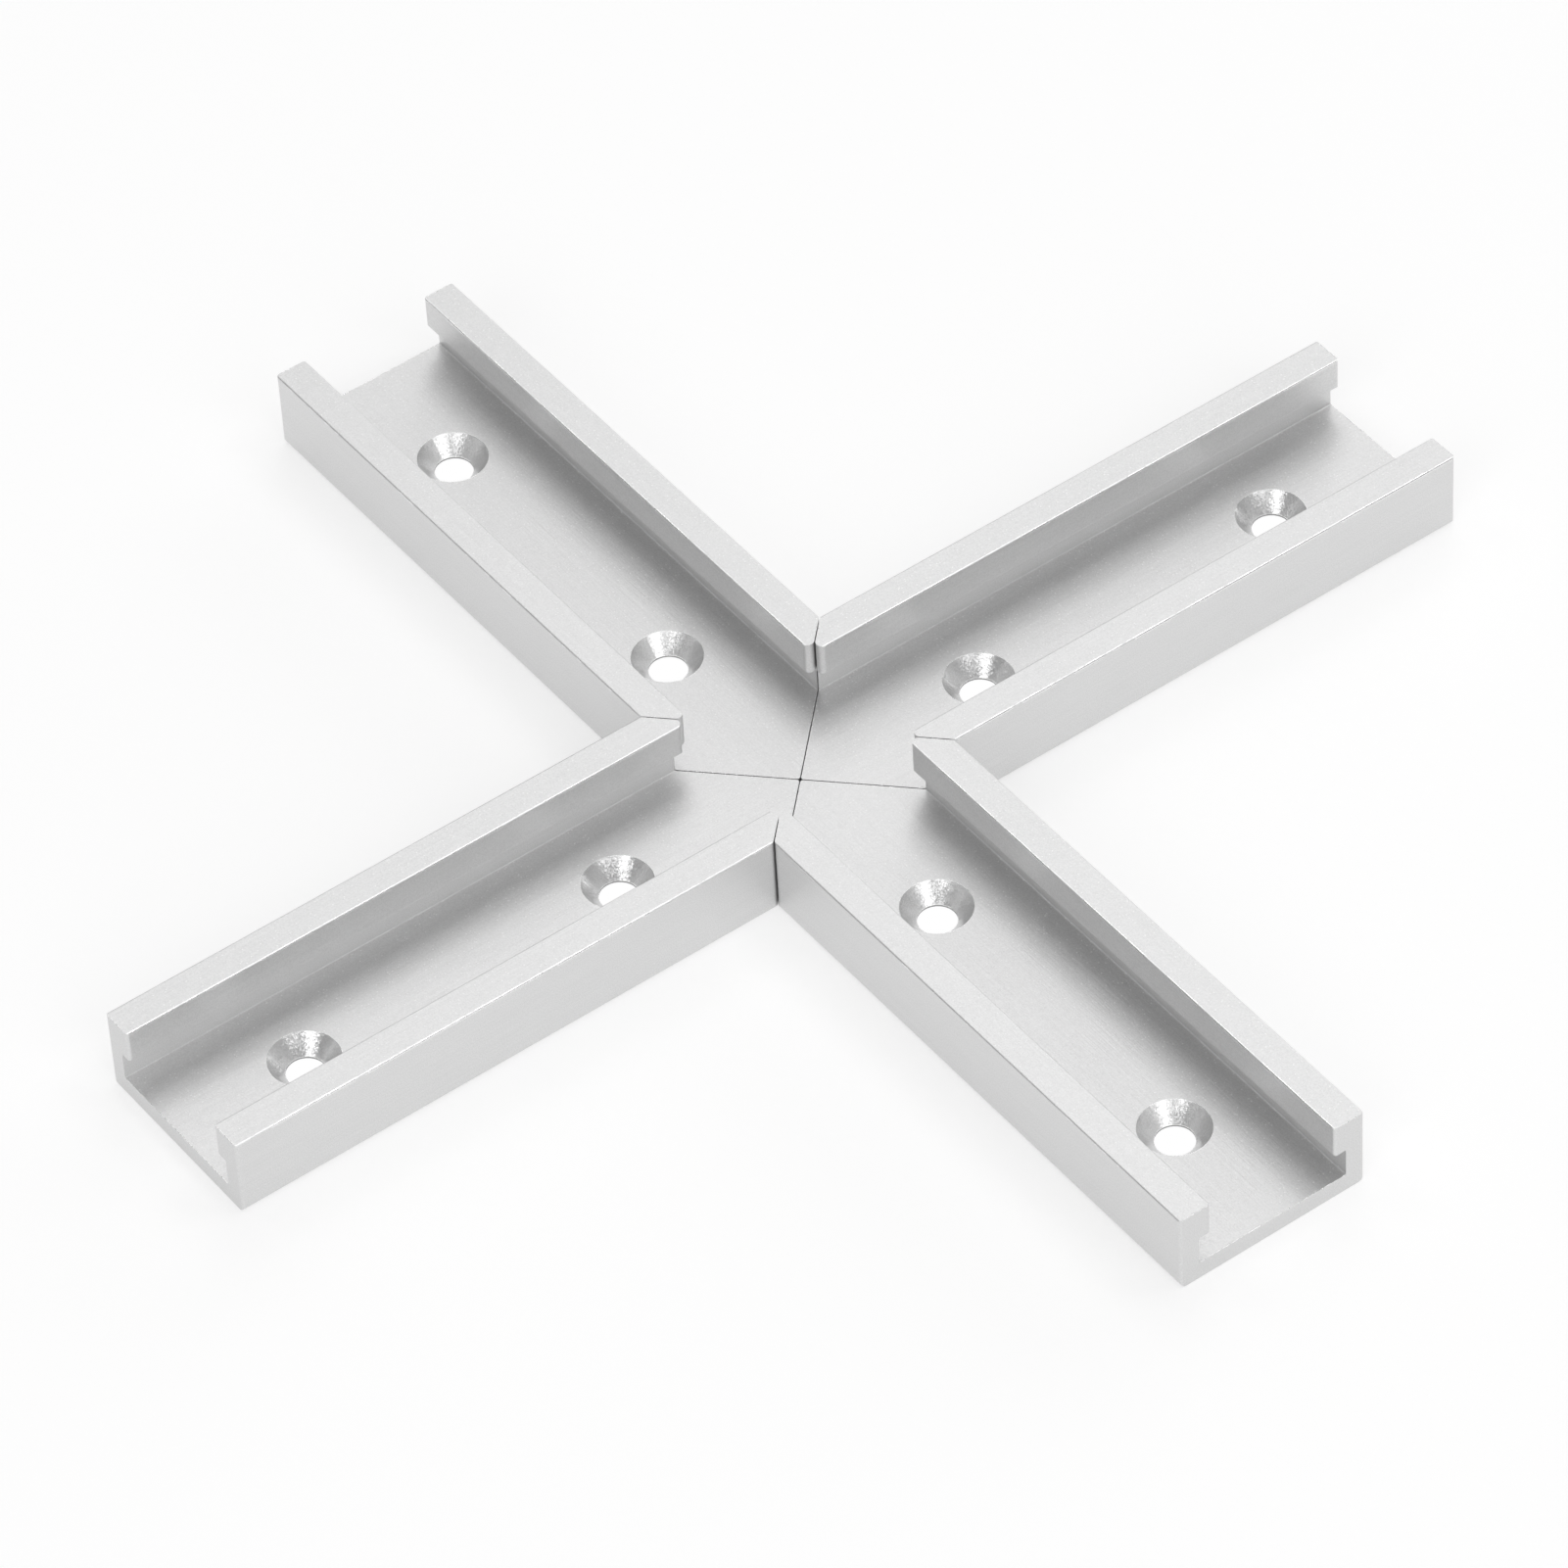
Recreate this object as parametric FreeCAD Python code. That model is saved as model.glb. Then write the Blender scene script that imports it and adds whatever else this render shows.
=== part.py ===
import FreeCAD
import Part
import math
import os
from FreeCAD import Vector

# Four channels of slotted track laid as a cross.
# Each is one extrusion with two countersunk screw holes in its floor.
# Its inner end is cut to a point, so the four points close in the middle.
# The frame stands at the middle of the cross, on the underside, +Z up.

# Section of the extrusion, in millimetres
track_width = 30.0
track_height = 12.7
mouth_width = 20.2
lip_overhang = 1.9
undercut_height = 4.6
floor_thickness = 2.9

# Rounded corners of the section
bottom_edge_radius = 1.0
outer_edge_radius = 0.25
mouth_edge_radius = 0.2
lip_nose_radius = 0.3
inner_corner_radius = 0.2

# Layout of the cross
arm_length = 101.0
seam_gap = 0.15
arm_angles = {
    "track_near_right": 0.0,
    "track_far_right": 90.0,
    "track_far_left": 180.0,
    "track_near_left": 270.0,
}

# Upright corners that the blasting left round
centre_point_radius = 0.4
lip_tip_radius = 0.9
inside_corner_radius = 1.2
end_corner_radius = 0.5

# Screw holes in each floor, placed from the square end
holes_per_arm = 2
hole_diameter = 5.5
hole_end_distance = 20.2
hole_spacing = 50.6
countersink_diameter = 10.0
countersink_angle = 82.0

# How far a cutter reaches past what it cuts
cutter_reach = 1.0

half_width = track_width / 2.0
half_mouth = mouth_width / 2.0
half_undercut = half_mouth + lip_overhang
lip_underside = floor_thickness + undercut_height
half_sector = math.pi / len(arm_angles)
wedge_point = seam_gap / 2.0 / math.sin(half_sector)
up = Vector(0, 0, 1)


def rounded_wire(corners):
    """Closed wire across the track from (side, height, radius) corners."""
    starts, middles, ends = [], [], []
    for index, (side, height, radius) in enumerate(corners):
        corner = Vector(0, side, height)
        before = Vector(0, *corners[index - 1][:2])
        after = Vector(0, *corners[(index + 1) % len(corners)][:2])
        to_before = (before - corner).normalize()
        to_after = (after - corner).normalize()
        half_angle = to_before.getAngle(to_after) / 2.0
        inward = (to_before + to_after).normalize()
        starts.append(corner + to_before * (radius / math.tan(half_angle)))
        ends.append(corner + to_after * (radius / math.tan(half_angle)))
        middles.append(corner + inward * (radius / math.sin(half_angle) - radius))
    edges = []
    for index, (side, height, radius) in enumerate(corners):
        if radius > 0:
            edges.append(Part.Arc(starts[index], middles[index], ends[index]).toShape())
        edges.append(Part.makeLine(ends[index], starts[(index + 1) % len(corners)]))
    return Part.Wire(edges)


def channel_section():
    """Floor, two walls and two lips that reach in over the undercut."""
    right = [
        (half_width, 0.0, bottom_edge_radius),
        (half_width, track_height, outer_edge_radius),
        (half_mouth, track_height, mouth_edge_radius),
        (half_mouth, lip_underside, lip_nose_radius),
        (half_undercut, lip_underside, inner_corner_radius),
        (half_undercut, floor_thickness, inner_corner_radius),
    ]
    left = [(-side, height, radius) for side, height, radius in reversed(right)]
    return Part.Face(rounded_wire(right + left))


def mitre_wedge():
    """The sector of the cross that one arm may fill, half a seam inside it."""
    reach = arm_length + cutter_reach
    spread = (reach - wedge_point) * math.tan(half_sector)
    corners = [
        Vector(wedge_point, 0, -cutter_reach),
        Vector(reach, -spread, -cutter_reach),
        Vector(reach, spread, -cutter_reach),
    ]
    outline = Part.Face(Part.makePolygon(corners + corners[:1]))
    return outline.extrude(up * (track_height + 2.0 * cutter_reach))


def corner_cutter(corner, along_one, along_other, radius, bottom):
    """What comes off an upright corner, from one height upwards, to leave it round."""
    half_angle = along_one.getAngle(along_other) / 2.0
    inward = (along_one + along_other).normalize()
    centre = corner + inward * (radius / math.sin(half_angle))
    on_one = corner + along_one * (radius / math.tan(half_angle))
    on_other = corner + along_other * (radius / math.tan(half_angle))
    out_one = on_one + (on_one - centre).normalize() * cutter_reach
    out_other = on_other + (on_other - centre).normalize() * cutter_reach
    beyond = corner - inward * cutter_reach
    arc = Part.Arc(on_one, centre - inward * radius, on_other).toShape()
    rest = Part.makePolygon([on_other, out_other, beyond, out_one, on_one])
    outline = Part.Face(Part.Wire([arc] + rest.Edges))
    outline.translate(up * bottom)
    return outline.extrude(up * (track_height - bottom + cutter_reach))


def upright_corners():
    """Every upright corner of one arm that is left round, seen from above."""
    below = -cutter_reach
    under_lip = floor_thickness + undercut_height / 2.0
    to_end = Vector(1, 0, 0)
    to_middle = Vector(-1, 0, 0)
    cuts = [Vector(math.cos(half_sector), side * math.sin(half_sector), 0) for side in (1, -1)]
    corners = [(Vector(wedge_point, 0, 0), cuts[0], cuts[1], centre_point_radius, below)]
    for side, cut in zip((1, -1), cuts):
        across = Vector(0, side, 0)
        lip_tip = Vector(wedge_point, 0, 0) + cut * (half_mouth / math.sin(half_sector))
        inside = Vector(wedge_point, 0, 0) + cut * (half_width / math.sin(half_sector))
        lip_end = Vector(arm_length, side * half_mouth, 0)
        wall_end = Vector(arm_length, side * half_width, 0)
        corners += [
            (lip_tip, to_end, cut, lip_tip_radius, under_lip),
            (inside, to_end, -cut, inside_corner_radius, below),
            (lip_end, to_middle, across, end_corner_radius, under_lip),
            (wall_end, to_middle, -across, end_corner_radius, below),
        ]
    return corners


def countersink_cutter(along):
    """Through hole with a cone that opens at the floor's upper face."""
    hole_radius = hole_diameter / 2.0
    cone_radius = countersink_diameter / 2.0
    cone_slope = math.tan(math.radians(countersink_angle / 2.0))
    cone_foot = floor_thickness - (cone_radius - hole_radius) / cone_slope
    bottom = min(0.0, cone_foot) - cutter_reach
    top = floor_thickness + cutter_reach
    profile = [
        (0.0, bottom),
        (hole_radius, bottom),
        (hole_radius, cone_foot),
        (cone_radius, floor_thickness),
        (cone_radius, top),
        (0.0, top),
    ]
    points = [Vector(along + radius, 0, height) for radius, height in profile]
    outline = Part.Face(Part.makePolygon(points + points[:1]))
    return outline.revolve(Vector(along, 0, 0), up, 360)


# One arm along +X, sawn square at its outer end and to a point at the middle
arm = channel_section().extrude(Vector(arm_length, 0, 0))
arm = arm.common(mitre_wedge())

# Its upright corners are sharp so far
for corner in upright_corners():
    arm = arm.cut(corner_cutter(*corner))

# Screw holes on the centre line
for index in range(holes_per_arm):
    along = arm_length - hole_end_distance - index * hole_spacing
    arm = arm.cut(countersink_cutter(along))

# The same arm four times, turned about the middle
os.makedirs("parts", exist_ok=True)
for name, angle in arm_angles.items():
    track = arm.Solids[0].rotated(Vector(0, 0, 0), up, angle)
    track.exportStep("parts/" + name + ".step")
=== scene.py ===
import math

import bpy
from mathutils import Euler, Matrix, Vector


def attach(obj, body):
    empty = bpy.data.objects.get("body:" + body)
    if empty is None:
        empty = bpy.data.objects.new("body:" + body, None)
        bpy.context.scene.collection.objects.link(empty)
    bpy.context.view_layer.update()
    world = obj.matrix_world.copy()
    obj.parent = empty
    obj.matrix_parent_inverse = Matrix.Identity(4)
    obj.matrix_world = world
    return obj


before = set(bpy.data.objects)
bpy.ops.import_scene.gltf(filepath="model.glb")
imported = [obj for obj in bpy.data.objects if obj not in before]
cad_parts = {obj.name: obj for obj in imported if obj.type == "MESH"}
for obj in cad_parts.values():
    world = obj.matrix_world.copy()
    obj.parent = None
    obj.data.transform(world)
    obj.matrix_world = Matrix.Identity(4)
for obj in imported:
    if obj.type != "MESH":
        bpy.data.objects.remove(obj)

# Four short lengths of slotted aluminium track laid as a cross.
# The channels keep their CAD shape. This file gives them their satin finish, the worn metal that
# handling, the saw and the countersink left along their edges, bare metal that is lighter on the edges facing
# the lights, partly wear and partly a painted highlight, painted shade as darker bores and a dark bead along
# some lip edges, the studio and the camera.

scene = bpy.context.scene
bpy.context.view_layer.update()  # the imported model's own box, before anything else is made

mm = 0.001

# The channels' sizes in millimetres: along from the middle of the cross, across from the centre line, or up
track = {
    "halfWidth": 15.0,
    "halfMouth": 10.1,
    "height": 12.7,
    "floor": 2.9,
    "halfUndercut": 12.0,
    "end": 101.0,
    "holes": (30.2, 80.8),
    "countersink": 5.0,         # radius where the cone meets the floor
    "hole": 2.75,               # radius of the bore
    "coneFoot": 0.31,           # height where the cone ends and the bore starts
}


# Helpers for node trees

def addNode(tree, kind, **settings):
    node = tree.nodes.new(kind)
    for name, value in settings.items():
        setattr(node, name, value)
    return node


def feed(tree, socket, value):  # links a socket, or sets its own value
    if isinstance(value, bpy.types.NodeSocket):
        tree.links.new(value, socket)
    else:
        socket.default_value = value


def calc(tree, operation, *values, clamp=False):
    node = addNode(tree, "ShaderNodeMath", operation=operation, use_clamp=clamp)
    for socket, value in zip(node.inputs, values):
        feed(tree, socket, value)
    return node.outputs[0]


def calcVector(tree, operation, *values):
    node = addNode(tree, "ShaderNodeVectorMath", operation=operation)
    for socket, value in zip(node.inputs, values):
        feed(tree, socket, value)
    return node.outputs["Value"] if operation == "LENGTH" else node.outputs["Vector"]


def scaleVector(tree, vector, amount):
    node = addNode(tree, "ShaderNodeVectorMath", operation="SCALE")
    feed(tree, node.inputs[0], vector)
    feed(tree, node.inputs["Scale"], amount)
    return node.outputs["Vector"]


def divideVector(tree, vector, amount):
    return scaleVector(tree, vector, calc(tree, "DIVIDE", 1.0, amount))


def combine(tree, x, y, z):
    node = addNode(tree, "ShaderNodeCombineXYZ")
    for socket, value in zip(node.inputs, (x, y, z)):
        feed(tree, socket, value)
    return node.outputs[0]


def blendValue(tree, factor, a, b):
    node = addNode(tree, "ShaderNodeMix", data_type="FLOAT")
    feed(tree, node.inputs[0], factor)
    feed(tree, node.inputs[2], a)
    feed(tree, node.inputs[3], b)
    return node.outputs[0]


def slope(tree, value, low, high, outLow=0.0, outHigh=1.0):  # a soft step from outLow to outHigh
    node = addNode(tree, "ShaderNodeMapRange", interpolation_type="SMOOTHSTEP")
    for socket, setting in zip(node.inputs, (value, low, high, outLow, outHigh)):
        feed(tree, socket, setting)
    return node.outputs[0]


def noise(tree, vector, scale, detail=2.0, roughness=0.5):
    node = addNode(tree, "ShaderNodeTexNoise")
    feed(tree, node.inputs["Vector"], vector)
    for name, value in (("Scale", scale), ("Detail", detail), ("Roughness", roughness)):
        node.inputs[name].default_value = value
    return node.outputs[0]


def cells(tree, vector, scale):
    node = addNode(tree, "ShaderNodeTexVoronoi")
    feed(tree, node.inputs["Vector"], vector)
    node.inputs["Scale"].default_value = scale
    return node.outputs


def around(tree, value, amount):  # turns 0..1 into 1 - amount/2 .. 1 + amount/2
    return calc(tree, "MULTIPLY_ADD", value, amount, 1.0 - amount / 2.0)


def spotInMm(tree):
    return scaleVector(tree, addNode(tree, "ShaderNodeTexCoord").outputs["Object"], 1.0 / mm)


def bump(tree, height, distance, under=None):
    node = addNode(tree, "ShaderNodeBump")
    node.inputs["Strength"].default_value = 1.0
    node.inputs["Distance"].default_value = distance
    feed(tree, node.inputs["Height"], height)
    if under is not None:
        feed(tree, node.inputs["Normal"], under)
    return node.outputs[0]


def metal(tree, grey, rough, normal):
    colour = addNode(tree, "ShaderNodeCombineColor")
    for socket in colour.inputs[:3]:
        feed(tree, socket, grey)
    body = addNode(tree, "ShaderNodeBsdfPrincipled")
    body.inputs["Metallic"].default_value = 1.0
    feed(tree, body.inputs["Base Color"], colour.outputs[0])
    feed(tree, body.inputs["Roughness"], rough)
    feed(tree, body.inputs["Normal"], normal)
    return body.outputs[0]


def newTree(name):
    material = bpy.data.materials.new(name)
    material.use_nodes = True
    material.node_tree.nodes.clear()
    return material, material.node_tree


def closeTree(tree, shader, kind="ShaderNodeOutputMaterial"):
    feed(tree, addNode(tree, kind).inputs["Surface"], shader)


# Satin aluminium: blasted and anodised, with drawn lines along each channel, bare metal on knocked edges that
# is lighter where they face the lights, partly wear and partly a painted highlight, and painted shade in the
# bores

satin = {
    "grey": 0.78,
    "roughness": 0.42,
    "cloudsPerMm": 0.09,        # slow change over the surface
    "cloudTone": 0.02,
    "cloudRoughness": 0.06,
    "grainPerMm": 5.0,          # the blasted grain
    "grainHeight": 0.015 * mm,
    "grainTone": 0.32,
    "linesPerMm": 2.6,          # the lines that the die drew along each channel
    "lineStretch": 0.03,        # how slowly they change along it, beside across it
    "lineHeight": 0.02 * mm,
    "lineTone": 0.1,
    "pitSpacing": 0.5,          # bright pits: one try in every cell of this many millimetres
    "pitRadius": 0.14,
    "pitCore": 0.6,             # share of the radius that is bright all over
    "pitShare": 0.3,
    "pitLevel": 0.05,           # how near the floor's or the lips' height a pit has to be, in millimetres
    "pitGrey": 0.96,
    "pitRoughness": 0.85,
    # bare metal on the edges that face the lights, lighter than the satin: partly wear, partly a painted
    # highlight
    "bareAndHighlightGrey": 0.96,
    "bareAndHighlightRoughness": 0.3,
    "bareAndHighlightReach": (0.13, 0.24),  # how far bare metal reaches from the corner of a knocked edge, in millimetres
    "bareAndHighlightRim": (-0.04, 0.05),   # how softly it ends there, in millimetres
    "nicksPerMm": 1.7,          # the noise that moves its rim in and out, and the range of it that counts
    "nickRange": (0.3, 0.6),
    "sawnGrey": 0.77,
    "sawnRoughness": 0.47,
    "coneGrey": 0.81,
    "coneRoughness": 0.3,
    "coneGrainPerMm": 7.0,      # the countersink's cut skin: small facets that each lean their own way
    "coneLean": 0.2,
    "coneTone": 0.4,
    # painted shade: the bores darker than the cones
    "boreShadeGrey": 0.35,
    "nearFace": 0.01,           # how near a face still counts as on it, in millimetres
}


def distanceFrom(tree, a, aFrom, b, bFrom):
    offset = combine(tree, calc(tree, "SUBTRACT", a, aFrom), calc(tree, "SUBTRACT", b, bFrom), 0.0)
    return calcVector(tree, "LENGTH", offset)


def trackPlace(tree):  # coordinates that run along, across and up each channel, in millimetres
    spot = spotInMm(tree)
    split = addNode(tree, "ShaderNodeSeparateXYZ")
    feed(tree, split.inputs[0], spot)
    x, y, z = split.outputs
    sizeX, sizeY = calc(tree, "ABSOLUTE", x), calc(tree, "ABSOLUTE", y)
    onX = calc(tree, "GREATER_THAN", sizeX, sizeY)
    onY = calc(tree, "SUBTRACT", 1.0, onX)
    along = calc(tree, "MAXIMUM", sizeX, sizeY)
    nearHole, farHole = track["holes"]
    hole = blendValue(tree, calc(tree, "GREATER_THAN", along, (nearHole + farHole) / 2.0), nearHole, farHole)
    holeX = calc(tree, "MULTIPLY", calc(tree, "SIGN", x), calc(tree, "MULTIPLY", hole, onX))
    holeY = calc(tree, "MULTIPLY", calc(tree, "SIGN", y), calc(tree, "MULTIPLY", hole, onY))
    return {
        "spot": spot,
        "along": along,
        "up": z,
        "onX": onX,
        "signedAlong": blendValue(tree, onX, y, x),
        "signedAcross": blendValue(tree, onX, x, y),
        "radius": distanceFrom(tree, x, holeX, y, holeY),  # from the middle of the nearest screw hole
    }


def bareAndHighlightEdges(tree, at):  # 1 where metal is bare and lighter, partly wear and partly a painted highlight: on the lip edge of each channel that faces the lights, and on two outer edges
    nowhere = 2.0 * track["halfWidth"]  # the channels along X have no bare outer edge
    inner = blendValue(tree, at["onX"], -track["halfMouth"], track["halfMouth"])
    outer = blendValue(tree, at["onX"], track["halfWidth"], nowhere)
    nearest = calc(
        tree,
        "MINIMUM",
        distanceFrom(tree, at["signedAcross"], inner, at["up"], track["height"]),
        distanceFrom(tree, at["signedAcross"], outer, at["up"], track["height"]),
    )
    nick = noise(tree, at["spot"], satin["nicksPerMm"], detail=3.0, roughness=0.6)
    reach = slope(tree, nick, *satin["nickRange"], *satin["bareAndHighlightReach"])
    return slope(tree, calc(tree, "SUBTRACT", reach, nearest), *satin["bareAndHighlightRim"])


def brightPits(tree, at):  # 1 in the few small round pits that the blasting left brighter than the rest
    pits = cells(tree, at["spot"], 1.0 / satin["pitSpacing"])
    dice = addNode(tree, "ShaderNodeTexWhiteNoise")
    feed(tree, dice.inputs["Vector"], pits["Position"])
    chosen = calc(tree, "LESS_THAN", dice.outputs["Value"], satin["pitShare"])
    onFloor = calc(tree, "COMPARE", at["up"], track["floor"], satin["pitLevel"])
    onLips = calc(tree, "COMPARE", at["up"], track["height"], satin["pitLevel"])
    chosen = calc(tree, "MULTIPLY", chosen, calc(tree, "ADD", onFloor, onLips, clamp=True))
    reach = satin["pitRadius"] / satin["pitSpacing"]
    return calc(tree, "MULTIPLY", chosen, slope(tree, pits["Distance"], reach, reach * satin["pitCore"]))


def blastedSkin(tree, at, grain):
    cloud = noise(tree, at["spot"], satin["cloudsPerMm"])
    slowAlong = calc(tree, "MULTIPLY", at["signedAlong"], satin["lineStretch"])
    stretched = combine(tree, slowAlong, at["signedAcross"], at["up"])
    lines = noise(tree, stretched, satin["linesPerMm"], detail=3.0, roughness=0.7)
    tone = around(tree, cloud, satin["cloudTone"])
    tone = calc(tree, "MULTIPLY", tone, around(tree, lines, satin["lineTone"]))
    tone = calc(tree, "MULTIPLY", tone, around(tree, grain, satin["grainTone"]))
    sawn = calc(tree, "GREATER_THAN", at["along"], track["end"] - satin["nearFace"])
    grey = calc(tree, "MULTIPLY", tone, blendValue(tree, sawn, satin["grey"], satin["sawnGrey"]))
    rough = blendValue(tree, sawn, satin["roughness"], satin["sawnRoughness"])
    rough = calc(tree, "MULTIPLY", rough, around(tree, cloud, satin["cloudRoughness"]))
    # the lighter bare metal on the lit edges is partly wear and partly a painted highlight
    for wearAndPaintedLight, shown in (("pit", brightPits(tree, at)), ("bareAndHighlight", bareAndHighlightEdges(tree, at))):
        grey = blendValue(tree, shown, grey, satin[wearAndPaintedLight + "Grey"])
        rough = blendValue(tree, shown, rough, satin[wearAndPaintedLight + "Roughness"])
    drawn = bump(tree, lines, satin["lineHeight"])
    return metal(tree, grey, rough, bump(tree, grain, satin["grainHeight"], drawn))


def cutSkin(tree, at, grain):  # the cones, cut and so sharper than the blasted skin, and the bores, darker grey as painted shade
    bore = calc(tree, "LESS_THAN", at["up"], track["coneFoot"])
    facets = cells(tree, at["spot"], satin["coneGrainPerMm"])
    lean = calcVector(tree, "SUBTRACT", facets["Color"], (0.5, 0.5, 0.5))
    lean = scaleVector(tree, lean, satin["coneLean"])
    surface = addNode(tree, "ShaderNodeNewGeometry").outputs["Normal"]
    facing = calcVector(tree, "NORMALIZE", calcVector(tree, "ADD", surface, lean))
    grey = blendValue(tree, bore, satin["coneGrey"], satin["boreShadeGrey"])
    grey = calc(tree, "MULTIPLY", around(tree, grain, satin["coneTone"]), grey)
    return metal(tree, grey, blendValue(tree, bore, satin["coneRoughness"], satin["roughness"]), facing)


def insideHoles(tree, at):  # 1 on the cones and in the bores
    near = satin["nearFace"]
    inside = calc(tree, "LESS_THAN", at["radius"], track["countersink"] + 2.0 * near)
    below = calc(tree, "LESS_THAN", at["up"], track["floor"] - near)
    above = calc(tree, "GREATER_THAN", at["up"], 2.0 * near)
    return calc(tree, "MULTIPLY", inside, calc(tree, "MULTIPLY", below, above))


def makeSatinAluminium():
    material, tree = newTree("satinAluminium")
    at = trackPlace(tree)
    grain = noise(tree, at["spot"], satin["grainPerMm"], roughness=0.6)
    both = addNode(tree, "ShaderNodeMixShader")
    feed(tree, both.inputs[0], insideHoles(tree, at))
    feed(tree, both.inputs[1], blastedSkin(tree, at, grain))
    feed(tree, both.inputs[2], cutSkin(tree, at, grain))
    closeTree(tree, both.outputs[0])
    return material


satinAluminium = makeSatinAluminium()
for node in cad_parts.values():
    for slot in node.material_slots:
        slot.material = satinAluminium
print("channels finished")


# Edge metal: bare where the anodising is knocked off, and a dull dark grey, painted shade, for the bead along
# the shaded lip edges

edgeMetal = {
    "bareAluminium": {"grey": 0.95, "roughness": 0.26},
    # dark grey for the bead that paints shade along the shaded inner lip edges
    "shadeDarkAluminium": {"grey": 0.4, "roughness": 0.5},
    "dentsPerMm": 4.0,
    "dentHeight": 0.008 * mm,
    "dentTone": 0.1,
    "dentRoughness": 0.3,
}


def makeEdgeMetal(name):
    material, tree = newTree(name)
    finish = edgeMetal[name]
    dents = noise(tree, spotInMm(tree), edgeMetal["dentsPerMm"], detail=3.0, roughness=0.6)
    grey = calc(tree, "MULTIPLY", around(tree, dents, edgeMetal["dentTone"]), finish["grey"])
    rough = calc(tree, "MULTIPLY", around(tree, dents, edgeMetal["dentRoughness"]), finish["roughness"])
    closeTree(tree, metal(tree, grey, rough, bump(tree, dents, edgeMetal["dentHeight"])))
    return material


bareAluminium = makeEdgeMetal("bareAluminium")
shadeDarkAluminium = makeEdgeMetal("shadeDarkAluminium")


# Worn edges: a bead of metal that follows an edge and stands a hair proud of its rounding,
# thicker and thinner by turns, so that it breaks off and starts again where the satin skin has held

beadPatches = {
    "level": 0.68,              # the noise has to pass this for metal to show, at a shown share of 0
    "drop": 0.36,               # how much lower that lies at a shown share of 1
    "step": 0.08,               # how softly a patch starts and ends
}


def makeBeadTree():
    tree = bpy.data.node_groups.new("beadAlongEdge", "GeometryNodeTree")
    tree.is_modifier = True
    tree.interface.new_socket(name="Edge lines", in_out="INPUT", socket_type="NodeSocketGeometry")
    for name, kind in (
        ("Point spacing", "NodeSocketFloat"),
        ("Radius", "NodeSocketFloat"),
        ("Proud", "NodeSocketFloat"),
        ("Ripple", "NodeSocketFloat"),
        ("Shown share", "NodeSocketFloat"),
        ("Patch length", "NodeSocketFloat"),
        ("Nick length", "NodeSocketFloat"),
        ("Sides", "NodeSocketInt"),
        ("Seed", "NodeSocketFloat"),
        ("Finish", "NodeSocketMaterial"),
    ):
        tree.interface.new_socket(name=name, in_out="INPUT", socket_type=kind)
    tree.interface.new_socket(name="Bead", in_out="OUTPUT", socket_type="NodeSocketGeometry")
    given = addNode(tree, "NodeGroupInput").outputs

    line = addNode(tree, "GeometryNodeMeshToCurve")
    feed(tree, line.inputs["Mesh"], given["Edge lines"])
    points = addNode(tree, "GeometryNodeResampleCurve", mode="LENGTH")
    feed(tree, points.inputs["Curve"], line.outputs[0])
    feed(tree, points.inputs["Length"], given["Point spacing"])

    # one noise says where the metal shows, a finer one nicks it
    place = addNode(tree, "GeometryNodeInputPosition").outputs[0]
    shift = combine(tree, given["Seed"], given["Seed"], 0.0)
    patchPlace = calcVector(tree, "ADD", divideVector(tree, place, given["Patch length"]), shift)
    nickPlace = calcVector(tree, "ADD", divideVector(tree, place, given["Nick length"]), shift)
    patches = noise(tree, patchPlace, 1.0, detail=1.0)
    nicks = noise(tree, nickPlace, 1.0, detail=3.0, roughness=0.65)
    drop = calc(tree, "MULTIPLY", given["Shown share"], beadPatches["drop"])
    level = calc(tree, "SUBTRACT", beadPatches["level"], drop)
    shown = slope(tree, patches, level, calc(tree, "ADD", level, beadPatches["step"]), -1.0, 1.0)
    ripple = calc(tree, "MULTIPLY", calc(tree, "SUBTRACT", nicks, 0.5), given["Ripple"])
    swell = calc(tree, "ADD", calc(tree, "MULTIPLY", shown, given["Proud"]), ripple)

    section = addNode(tree, "GeometryNodeCurvePrimitiveCircle", mode="RADIUS")
    feed(tree, section.inputs["Resolution"], given["Sides"])
    section.inputs["Radius"].default_value = 1.0
    bead = addNode(tree, "GeometryNodeCurveToMesh")
    feed(tree, bead.inputs["Curve"], points.outputs[0])
    feed(tree, bead.inputs["Profile Curve"], section.outputs[0])
    feed(tree, bead.inputs["Scale"], calc(tree, "ADD", given["Radius"], swell))
    bead.inputs["Fill Caps"].default_value = True
    soft = addNode(tree, "GeometryNodeSetShadeSmooth")
    feed(tree, soft.inputs["Geometry"], bead.outputs[0])
    soft.inputs["Shade Smooth"].default_value = True
    real = addNode(tree, "GeometryNodeRealizeInstances")
    feed(tree, real.inputs[0], soft.outputs[0])
    finish = addNode(tree, "GeometryNodeSetMaterial")
    feed(tree, finish.inputs["Geometry"], real.outputs[0])
    feed(tree, finish.inputs["Material"], given["Finish"])
    feed(tree, addNode(tree, "NodeGroupOutput").inputs[0], finish.outputs[0])
    return tree


beadTree = makeBeadTree()


def setInput(modifier, name, value):
    for item in modifier.node_group.interface.items_tree:
        if item.item_type == "SOCKET" and item.in_out == "INPUT" and item.name == name:
            modifier[item.identifier] = value
            return
    raise KeyError(name)


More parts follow.
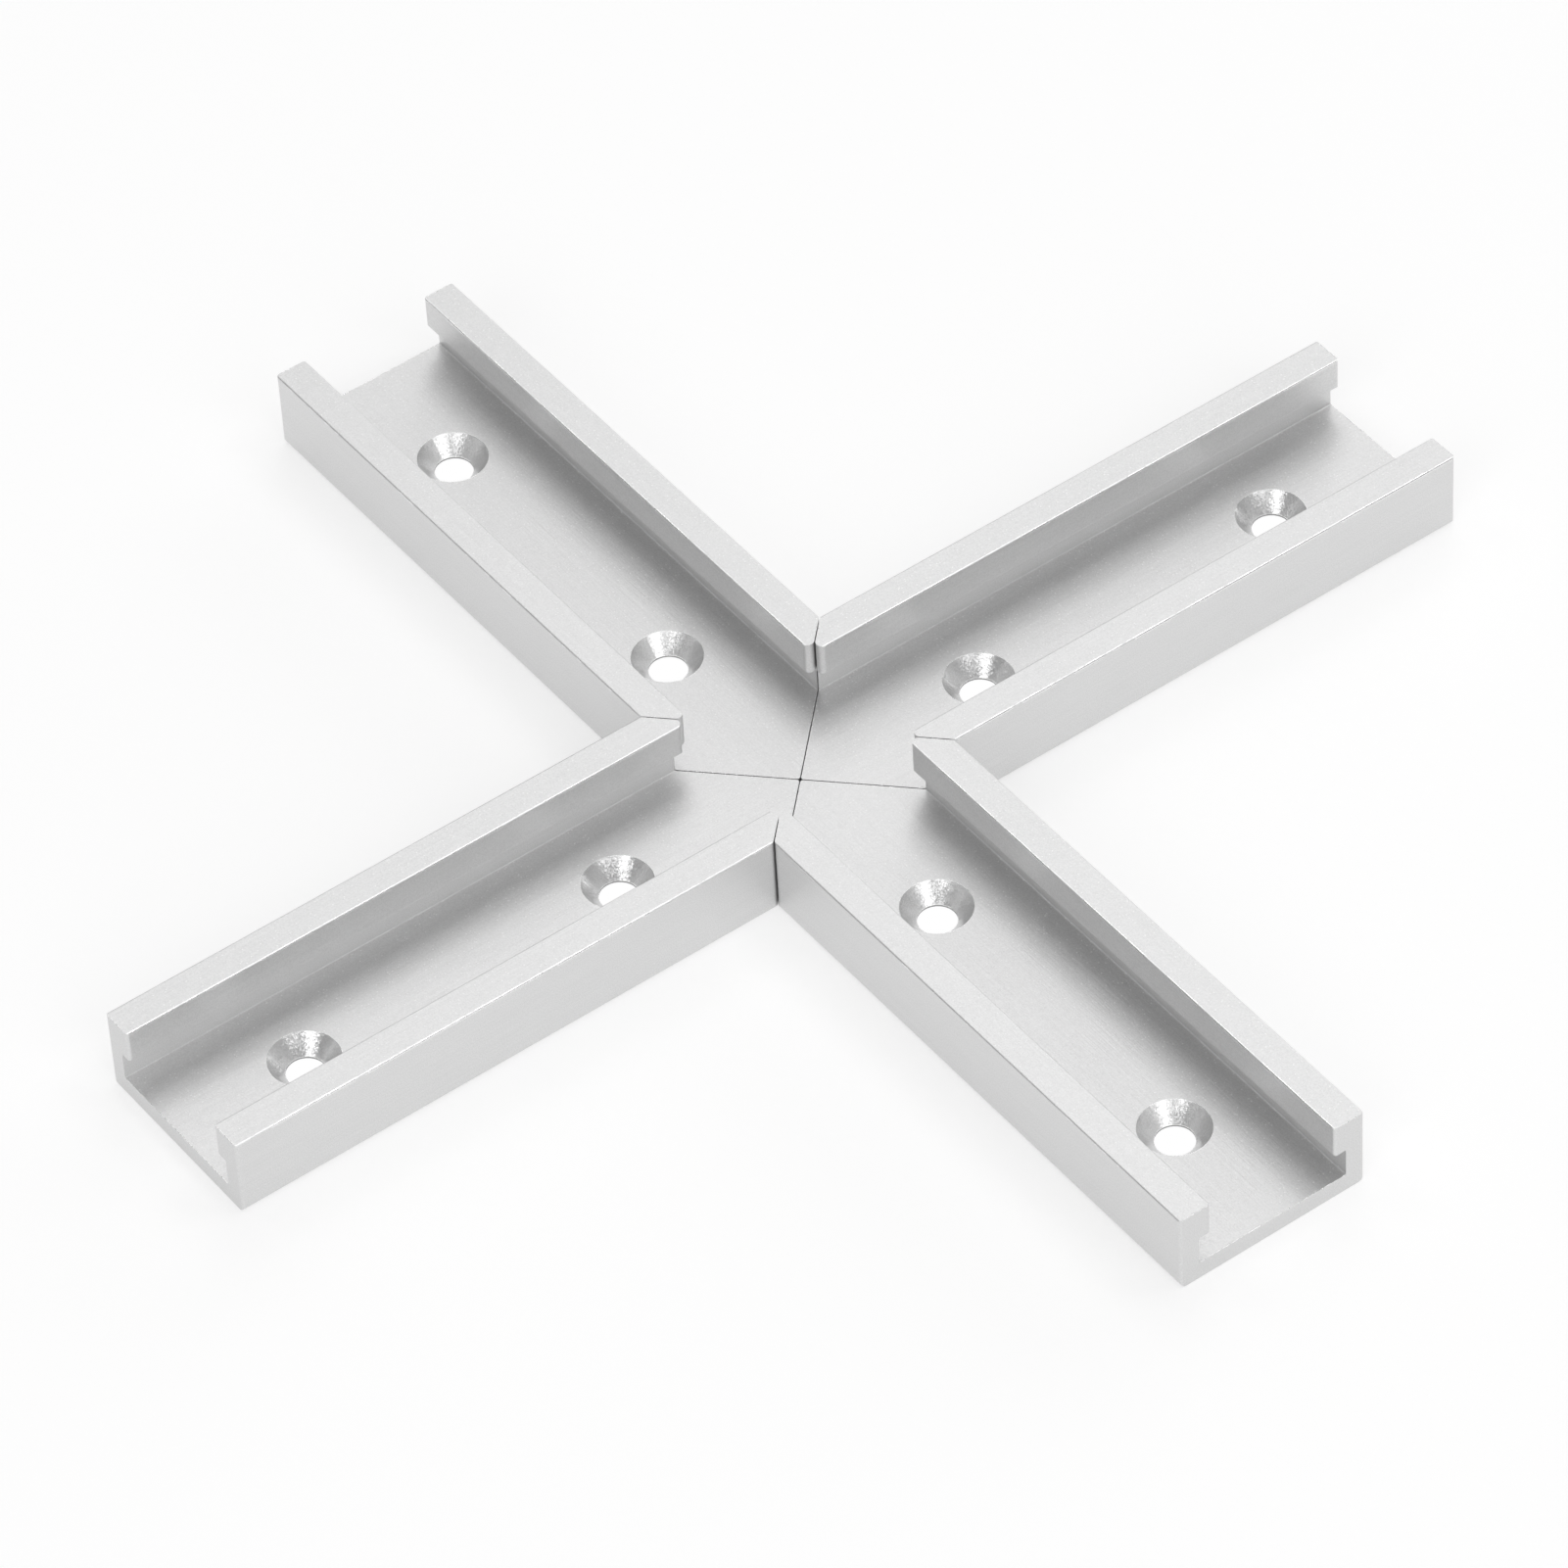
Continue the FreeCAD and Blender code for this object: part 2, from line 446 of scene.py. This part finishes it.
def bakePiece(name, lines, settings, finish=bareAluminium):  # one bead mesh along runs of points
    vertices, edges = [], []
    for run, closed in lines:
        first = len(vertices)
        vertices.extend(run)
        edges.extend((first + k, first + k + 1) for k in range(len(run) - 1))
        if closed:
            edges.append((first + len(run) - 1, first))
    guide = bpy.data.meshes.new(name + "Lines")
    guide.from_pydata([[value * mm for value in vertex] for vertex in vertices], edges, [])
    piece = bpy.data.objects.new(name, guide)
    scene.collection.objects.link(piece)
    modifier = piece.modifiers.new("bead", "NODES")
    modifier.node_group = beadTree
    for label, value in settings.items():
        setInput(modifier, label, value)
    setInput(modifier, "Finish", finish)
    ready = piece.evaluated_get(bpy.context.evaluated_depsgraph_get())
    mesh = bpy.data.meshes.new_from_object(ready)
    piece.modifiers.clear()
    piece.data = mesh
    mesh.name = name
    bpy.data.meshes.remove(guide)
    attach(piece, "root")
    print(name, len(mesh.polygons), "faces")
    return piece


def onChannels(run, quarters=range(4), closed=False):  # a run along the channel on +X, turned to the others
    turned = []
    for quarter in quarters:
        ring = []
        for along, across, up in run:
            for _ in range(quarter):
                along, across = -across, along
            ring.append((along, across, up))
        turned.append((ring, closed))
    return turned


def ringPoints(middle, radius, up, count):  # a circle round a hole of the channel on +X
    turns = [math.tau * k / count for k in range(count)]
    return [(middle + radius * math.cos(turn), radius * math.sin(turn), up) for turn in turns]


# Lip edges: knocked bare nearly all along on the edges that face the lights, partly wear and partly a painted
# highlight, flecked here and there, or darkened all along by a dull bead that paints shade

lipEdges = {
    # radius of the edge's rounding, and where along the channel the bead starts, in millimetres
    "inner": {"radius": 0.2, "start": 12.4},
    "outer": {"radius": 0.25, "start": 15.8},
    "stop": 0.55,               # how far short of the sawn end it stops
    "sunk": 0.024,              # how far its middle lies below the rounding's
    # how bare or shaded, which edge: channel (quarter turns from the one on +X) and side of it
    "places": {
        # these edges face the lights: their lighter bare metal is partly wear and partly a painted highlight
        "bareAndHighlight": {"inner": [(0, 1), (2, -1), (1, 1), (3, -1)], "outer": [(1, -1), (3, 1)]},
        "flecked": {"outer": [(0, -1), (2, 1), (0, 1), (2, -1), (1, 1), (3, -1)]},
        # shaded edges get a dark bead all along: painted shade
        "shaded": {"inner": [(0, -1), (2, 1), (1, -1), (3, 1)]},
    },
    "bead": {"Point spacing": 0.16 * mm, "Nick length": 1.3 * mm, "Sides": 14},
    "bareAndHighlight": {
        "Proud": 0.03 * mm,
        "Ripple": 0.03 * mm,
        "Shown share": 0.82,
        "Patch length": 6.0 * mm,
        "Seed": 3.0,
    },
    "flecked": {
        "Proud": 0.015 * mm,
        "Ripple": 0.05 * mm,
        "Shown share": 0.35,
        "Patch length": 2.0 * mm,
        "Seed": 11.0,
    },
    # the dark bead of painted shade shows nearly all along
    "shaded": {
        "Proud": 0.014 * mm,
        "Ripple": 0.006 * mm,
        "Shown share": 1.0,
        "Patch length": 9.0 * mm,
        "Seed": 5.0,
    },
}


def makeLipEdges():
    stop = track["end"] - lipEdges["stop"]
    for wearAndPaintedLight, kinds in lipEdges["places"].items():
        for kind, places in kinds.items():
            radius, start = lipEdges[kind]["radius"], lipEdges[kind]["start"]
            away = track["halfMouth"] + radius if kind == "inner" else track["halfWidth"] - radius
            up = track["height"] - radius - lipEdges["sunk"]
            runs = []
            for quarter, side in places:
                runs += onChannels([(along, side * away, up) for along in (start, stop)], [quarter])
            settings = {**lipEdges["bead"], **lipEdges[wearAndPaintedLight], "Radius": radius * mm}
            finish = shadeDarkAluminium if wearAndPaintedLight == "shaded" else bareAluminium
            bakePiece(wearAndPaintedLight + kind.capitalize() + "Edge", runs, settings, finish)


makeLipEdges()


# Sawn ends: broken flecks along the upper edges of the floor and of the lips

endEdges = {
    "inset": 0.05,              # how far the bead's middle lies inside both faces, in millimetres
    "offUndercut": 0.25,        # where it stops short of the walls and of the lips' own edges
    "offMouth": 0.55,
    "offOutside": 0.6,
    "bead": {
        "Point spacing": 0.12 * mm,
        "Radius": 0.075 * mm,
        "Proud": 0.02 * mm,
        "Ripple": 0.09 * mm,
        "Shown share": 0.55,
        "Patch length": 0.9 * mm,
        "Nick length": 0.4 * mm,
        "Sides": 8,
        "Seed": 23.0,
    },
}


def makeEndEdges():
    end = track["end"] - endEdges["inset"]
    floor, lip = track["floor"] - endEdges["inset"], track["height"] - endEdges["inset"]
    reach = track["halfUndercut"] - endEdges["offUndercut"]
    lines = onChannels([(end, -reach, floor), (end, reach, floor)])
    lipRun = (track["halfMouth"] + endEdges["offMouth"], track["halfWidth"] - endEdges["offOutside"])
    for side in (1, -1):
        lines += onChannels([(end, side * across, lip) for across in lipRun])
    bakePiece("endEdge", lines, endEdges["bead"])


makeEndEdges()


# Seams: a few bright dots along the top of the cut that closes each corner

seamEdges = {
    # millimetres, the runs counted across the channel
    "halfSeam": 0.106,          # half the gap between two channels, measured along one of them
    "inset": 0.04,
    "lipRun": (track["halfMouth"] + 1.7, track["halfWidth"] - 0.5),
    "floorRun": (0.5, track["halfUndercut"] - 0.3),
    "bead": {
        "Point spacing": 0.1 * mm,
        "Radius": 0.05 * mm,
        "Proud": 0.02 * mm,
        "Ripple": 0.08 * mm,
        "Shown share": 0.45,
        "Patch length": 0.7 * mm,
        "Nick length": 0.35 * mm,
        "Sides": 8,
        "Seed": 51.0,
    },
}


def makeSeamEdges():
    lines = []
    shift = seamEdges["halfSeam"] + 2.0 * seamEdges["inset"]
    for run, top in (("lipRun", track["height"]), ("floorRun", track["floor"])):
        up = top - seamEdges["inset"]
        for side in (1, -1):
            lines += onChannels([(across + shift, side * across, up) for across in seamEdges[run]])
    bakePiece("seamEdge", lines, seamEdges["bead"])


makeSeamEdges()


# Countersinks: a thin bright ring where the cone meets the floor, and another where the bore starts

rimEdges = {
    "points": 96,
    "sunk": 0.03,               # how far the upper ring's middle lies below the floor, in millimetres
    "outside": 0.02,            # how far the lower ring's middle lies outside the bore
    "bead": {
        "Point spacing": 0.12 * mm,
        "Radius": 0.035 * mm,
        "Proud": 0.01 * mm,
        "Ripple": 0.04 * mm,
        "Shown share": 0.95,
        "Patch length": 2.0 * mm,
        "Nick length": 0.5 * mm,
        "Sides": 8,
        "Seed": 37.0,
    },
}


def makeRimEdges():
    lines = []
    upper = track["countersink"], track["floor"] - rimEdges["sunk"]
    lower = track["hole"] + rimEdges["outside"], track["coneFoot"]
    for radius, up in (upper, lower):
        for hole in track["holes"]:
            lines += onChannels(ringPoints(hole, radius, up, rimEdges["points"]), closed=True)
    bakePiece("rimEdge", lines, rimEdges["bead"])


makeRimEdges()
print("edges made")


# Studio: a pale floor, a dim pale room and soft boxes

studio = {
    "floorSize": 16.0,          # metres
    "floorDrop": 0.1,           # millimetres below the undersides, so that the two don't lie in one plane
    "floorGrey": 0.5,
    "floorGlow": 0.45,
    "veilGlow": 0.09,           # light for the eye alone, which doesn't wash out the walls
    "veilRise": 0.05,           # millimetres above the floor
    # painted light: the glow of the discs under the screw holes
    "holeGlow": 1.0,
    "holeRise": 0.04,           # millimetres above the undersides
    "holeSteps": 32,
    "roomBrightness": 0.3,
    # name: azimuth and elevation in degrees from the middle, distance, width and height in metres, brightness
    "softBoxes": {
        "overhead": (100.0, 84.0, 2.4, 3.0, 3.0, 0.75),
        "back": (150.0, 46.0, 2.8, 1.5, 1.4, 0.74),
        "backFar": (125.0, 20.0, 3.0, 1.4, 1.2, 1.26),
        "backLow": (97.0, 17.0, 3.0, 1.7, 1.2, 1.5),
        "right": (361.0, 35.0, 2.8, 1.8, 1.4, 1.52),
        "left": (302.0, 35.0, 2.8, 1.5, 1.4, 1.95),
        "rightLow": (338.0, 12.0, 3.0, 2.0, 1.0, 1.6),
        "rimRight": (60.0, 58.0, 3.0, 0.8, 0.9, 1.7),
        "rimLeft": (205.0, 51.0, 3.0, 0.7, 0.8, 1.7),
    },
}


def glow(tree, strength, skin=None):  # light of its own, alone or added to a skin
    light = addNode(tree, "ShaderNodeEmission")
    light.inputs["Strength"].default_value = strength
    if skin is None:
        return light.outputs[0]
    both = addNode(tree, "ShaderNodeAddShader")
    feed(tree, both.inputs[0], skin)
    feed(tree, both.inputs[1], light.outputs[0])
    return both.outputs[0]


def addObject(name, vertices, faces, material):
    mesh = bpy.data.meshes.new(name)
    mesh.from_pydata(vertices, [], faces)
    mesh.materials.append(material)
    thing = bpy.data.objects.new(name, mesh)
    scene.collection.objects.link(thing)
    return thing


def addPlane(name, height, material):  # as large as the floor, its height in millimetres
    half, up = studio["floorSize"] / 2.0, height * mm
    corners = [(-half, -half, up), (half, -half, up), (half, half, up), (-half, half, up)]
    return addObject(name, corners, [(0, 1, 2, 3)], material)


def onlyForTheEye(thing):  # it lights nothing and throws no shadow
    thing.visible_diffuse = thing.visible_glossy = thing.visible_transmission = thing.visible_shadow = False


def makeFloor():
    material, tree = newTree("paleFloor")
    paint = addNode(tree, "ShaderNodeBsdfDiffuse")
    paint.inputs["Color"].default_value = (studio["floorGrey"],) * 3 + (1.0,)
    closeTree(tree, glow(tree, studio["floorGlow"], paint.outputs[0]))
    floor = addPlane("studioFloor", -studio["floorDrop"], material)


def makeFloorVeil():  # a clear sheet just above the floor
    material, tree = newTree("floorVeil")
    clear = addNode(tree, "ShaderNodeBsdfTransparent")
    closeTree(tree, glow(tree, studio["veilGlow"], clear.outputs[0]))
    veil = addPlane("floorVeil", studio["veilRise"] - studio["floorDrop"], material)
    onlyForTheEye(veil)


def makeHoleLights():  # glowing discs under the screw holes, for the eye alone: painted light that shows the floor there as bright as in the open, though the channels shade it
    vertices, faces = [], []
    for hole in track["holes"]:
        for ring, _ in onChannels(ringPoints(hole, track["hole"], studio["holeRise"], studio["holeSteps"])):
            faces.append(list(range(len(vertices), len(vertices) + len(ring))))
            vertices += [[value * mm for value in spot] for spot in ring]
    material, tree = newTree("holeLight")
    closeTree(tree, glow(tree, studio["holeGlow"]))
    lights = addObject("holeLight", vertices, faces, material)
    onlyForTheEye(lights)


def makeRoom():
    room = bpy.data.worlds.new("paleRoom")
    room.use_nodes = True
    room.node_tree.nodes.clear()
    light = addNode(room.node_tree, "ShaderNodeBackground")
    light.inputs["Strength"].default_value = studio["roomBrightness"]
    light.inputs["Color"].default_value = (1.0, 1.0, 1.0, 1.0)
    closeTree(room.node_tree, light.outputs[0], "ShaderNodeOutputWorld")
    scene.world = room


def makeSoftBox(name, azimuth, elevation, distance, width, height, brightness):
    box = bpy.data.lights.new(name, "AREA")
    box.shape = "RECTANGLE"
    box.size, box.size_y = width, height
    box.energy = math.pi * width * height * brightness
    lamp = bpy.data.objects.new(name, box)
    turn, rise = math.radians(azimuth), math.radians(elevation)
    towards = Vector((math.cos(rise) * math.cos(turn), math.cos(rise) * math.sin(turn), math.sin(rise)))
    lamp.location = towards * distance
    lamp.rotation_euler = (-lamp.location).to_track_quat("-Z", "Y").to_euler()
    scene.collection.objects.link(lamp)


makeFloor()
makeFloorVeil()
makeHoleLights()
makeRoom()
for name, setting in studio["softBoxes"].items():
    makeSoftBox(name, *setting)
scene.view_settings.view_transform = "Standard"
print("studio ready")


# Camera, from a pinhole camera fitted to the corners of the channels in the photograph

view = {
    "place": (0.72205, -0.49161, 0.89272),
    "turn": (44.393, 2.509, 53.335),
    "lens": 213.71,
    "sensor": 36.0,
    "clip": (0.01, 50.0),
}


def makeCamera():
    lens = bpy.data.cameras.new("photoCamera")
    lens.lens = view["lens"]
    lens.sensor_width = view["sensor"]
    lens.clip_start, lens.clip_end = view["clip"]
    camera = bpy.data.objects.new("photoCamera", lens)
    camera.location = view["place"]
    camera.rotation_euler = Euler([math.radians(angle) for angle in view["turn"]])
    scene.collection.objects.link(camera)
    scene.camera = camera


makeCamera()
print("camera set")
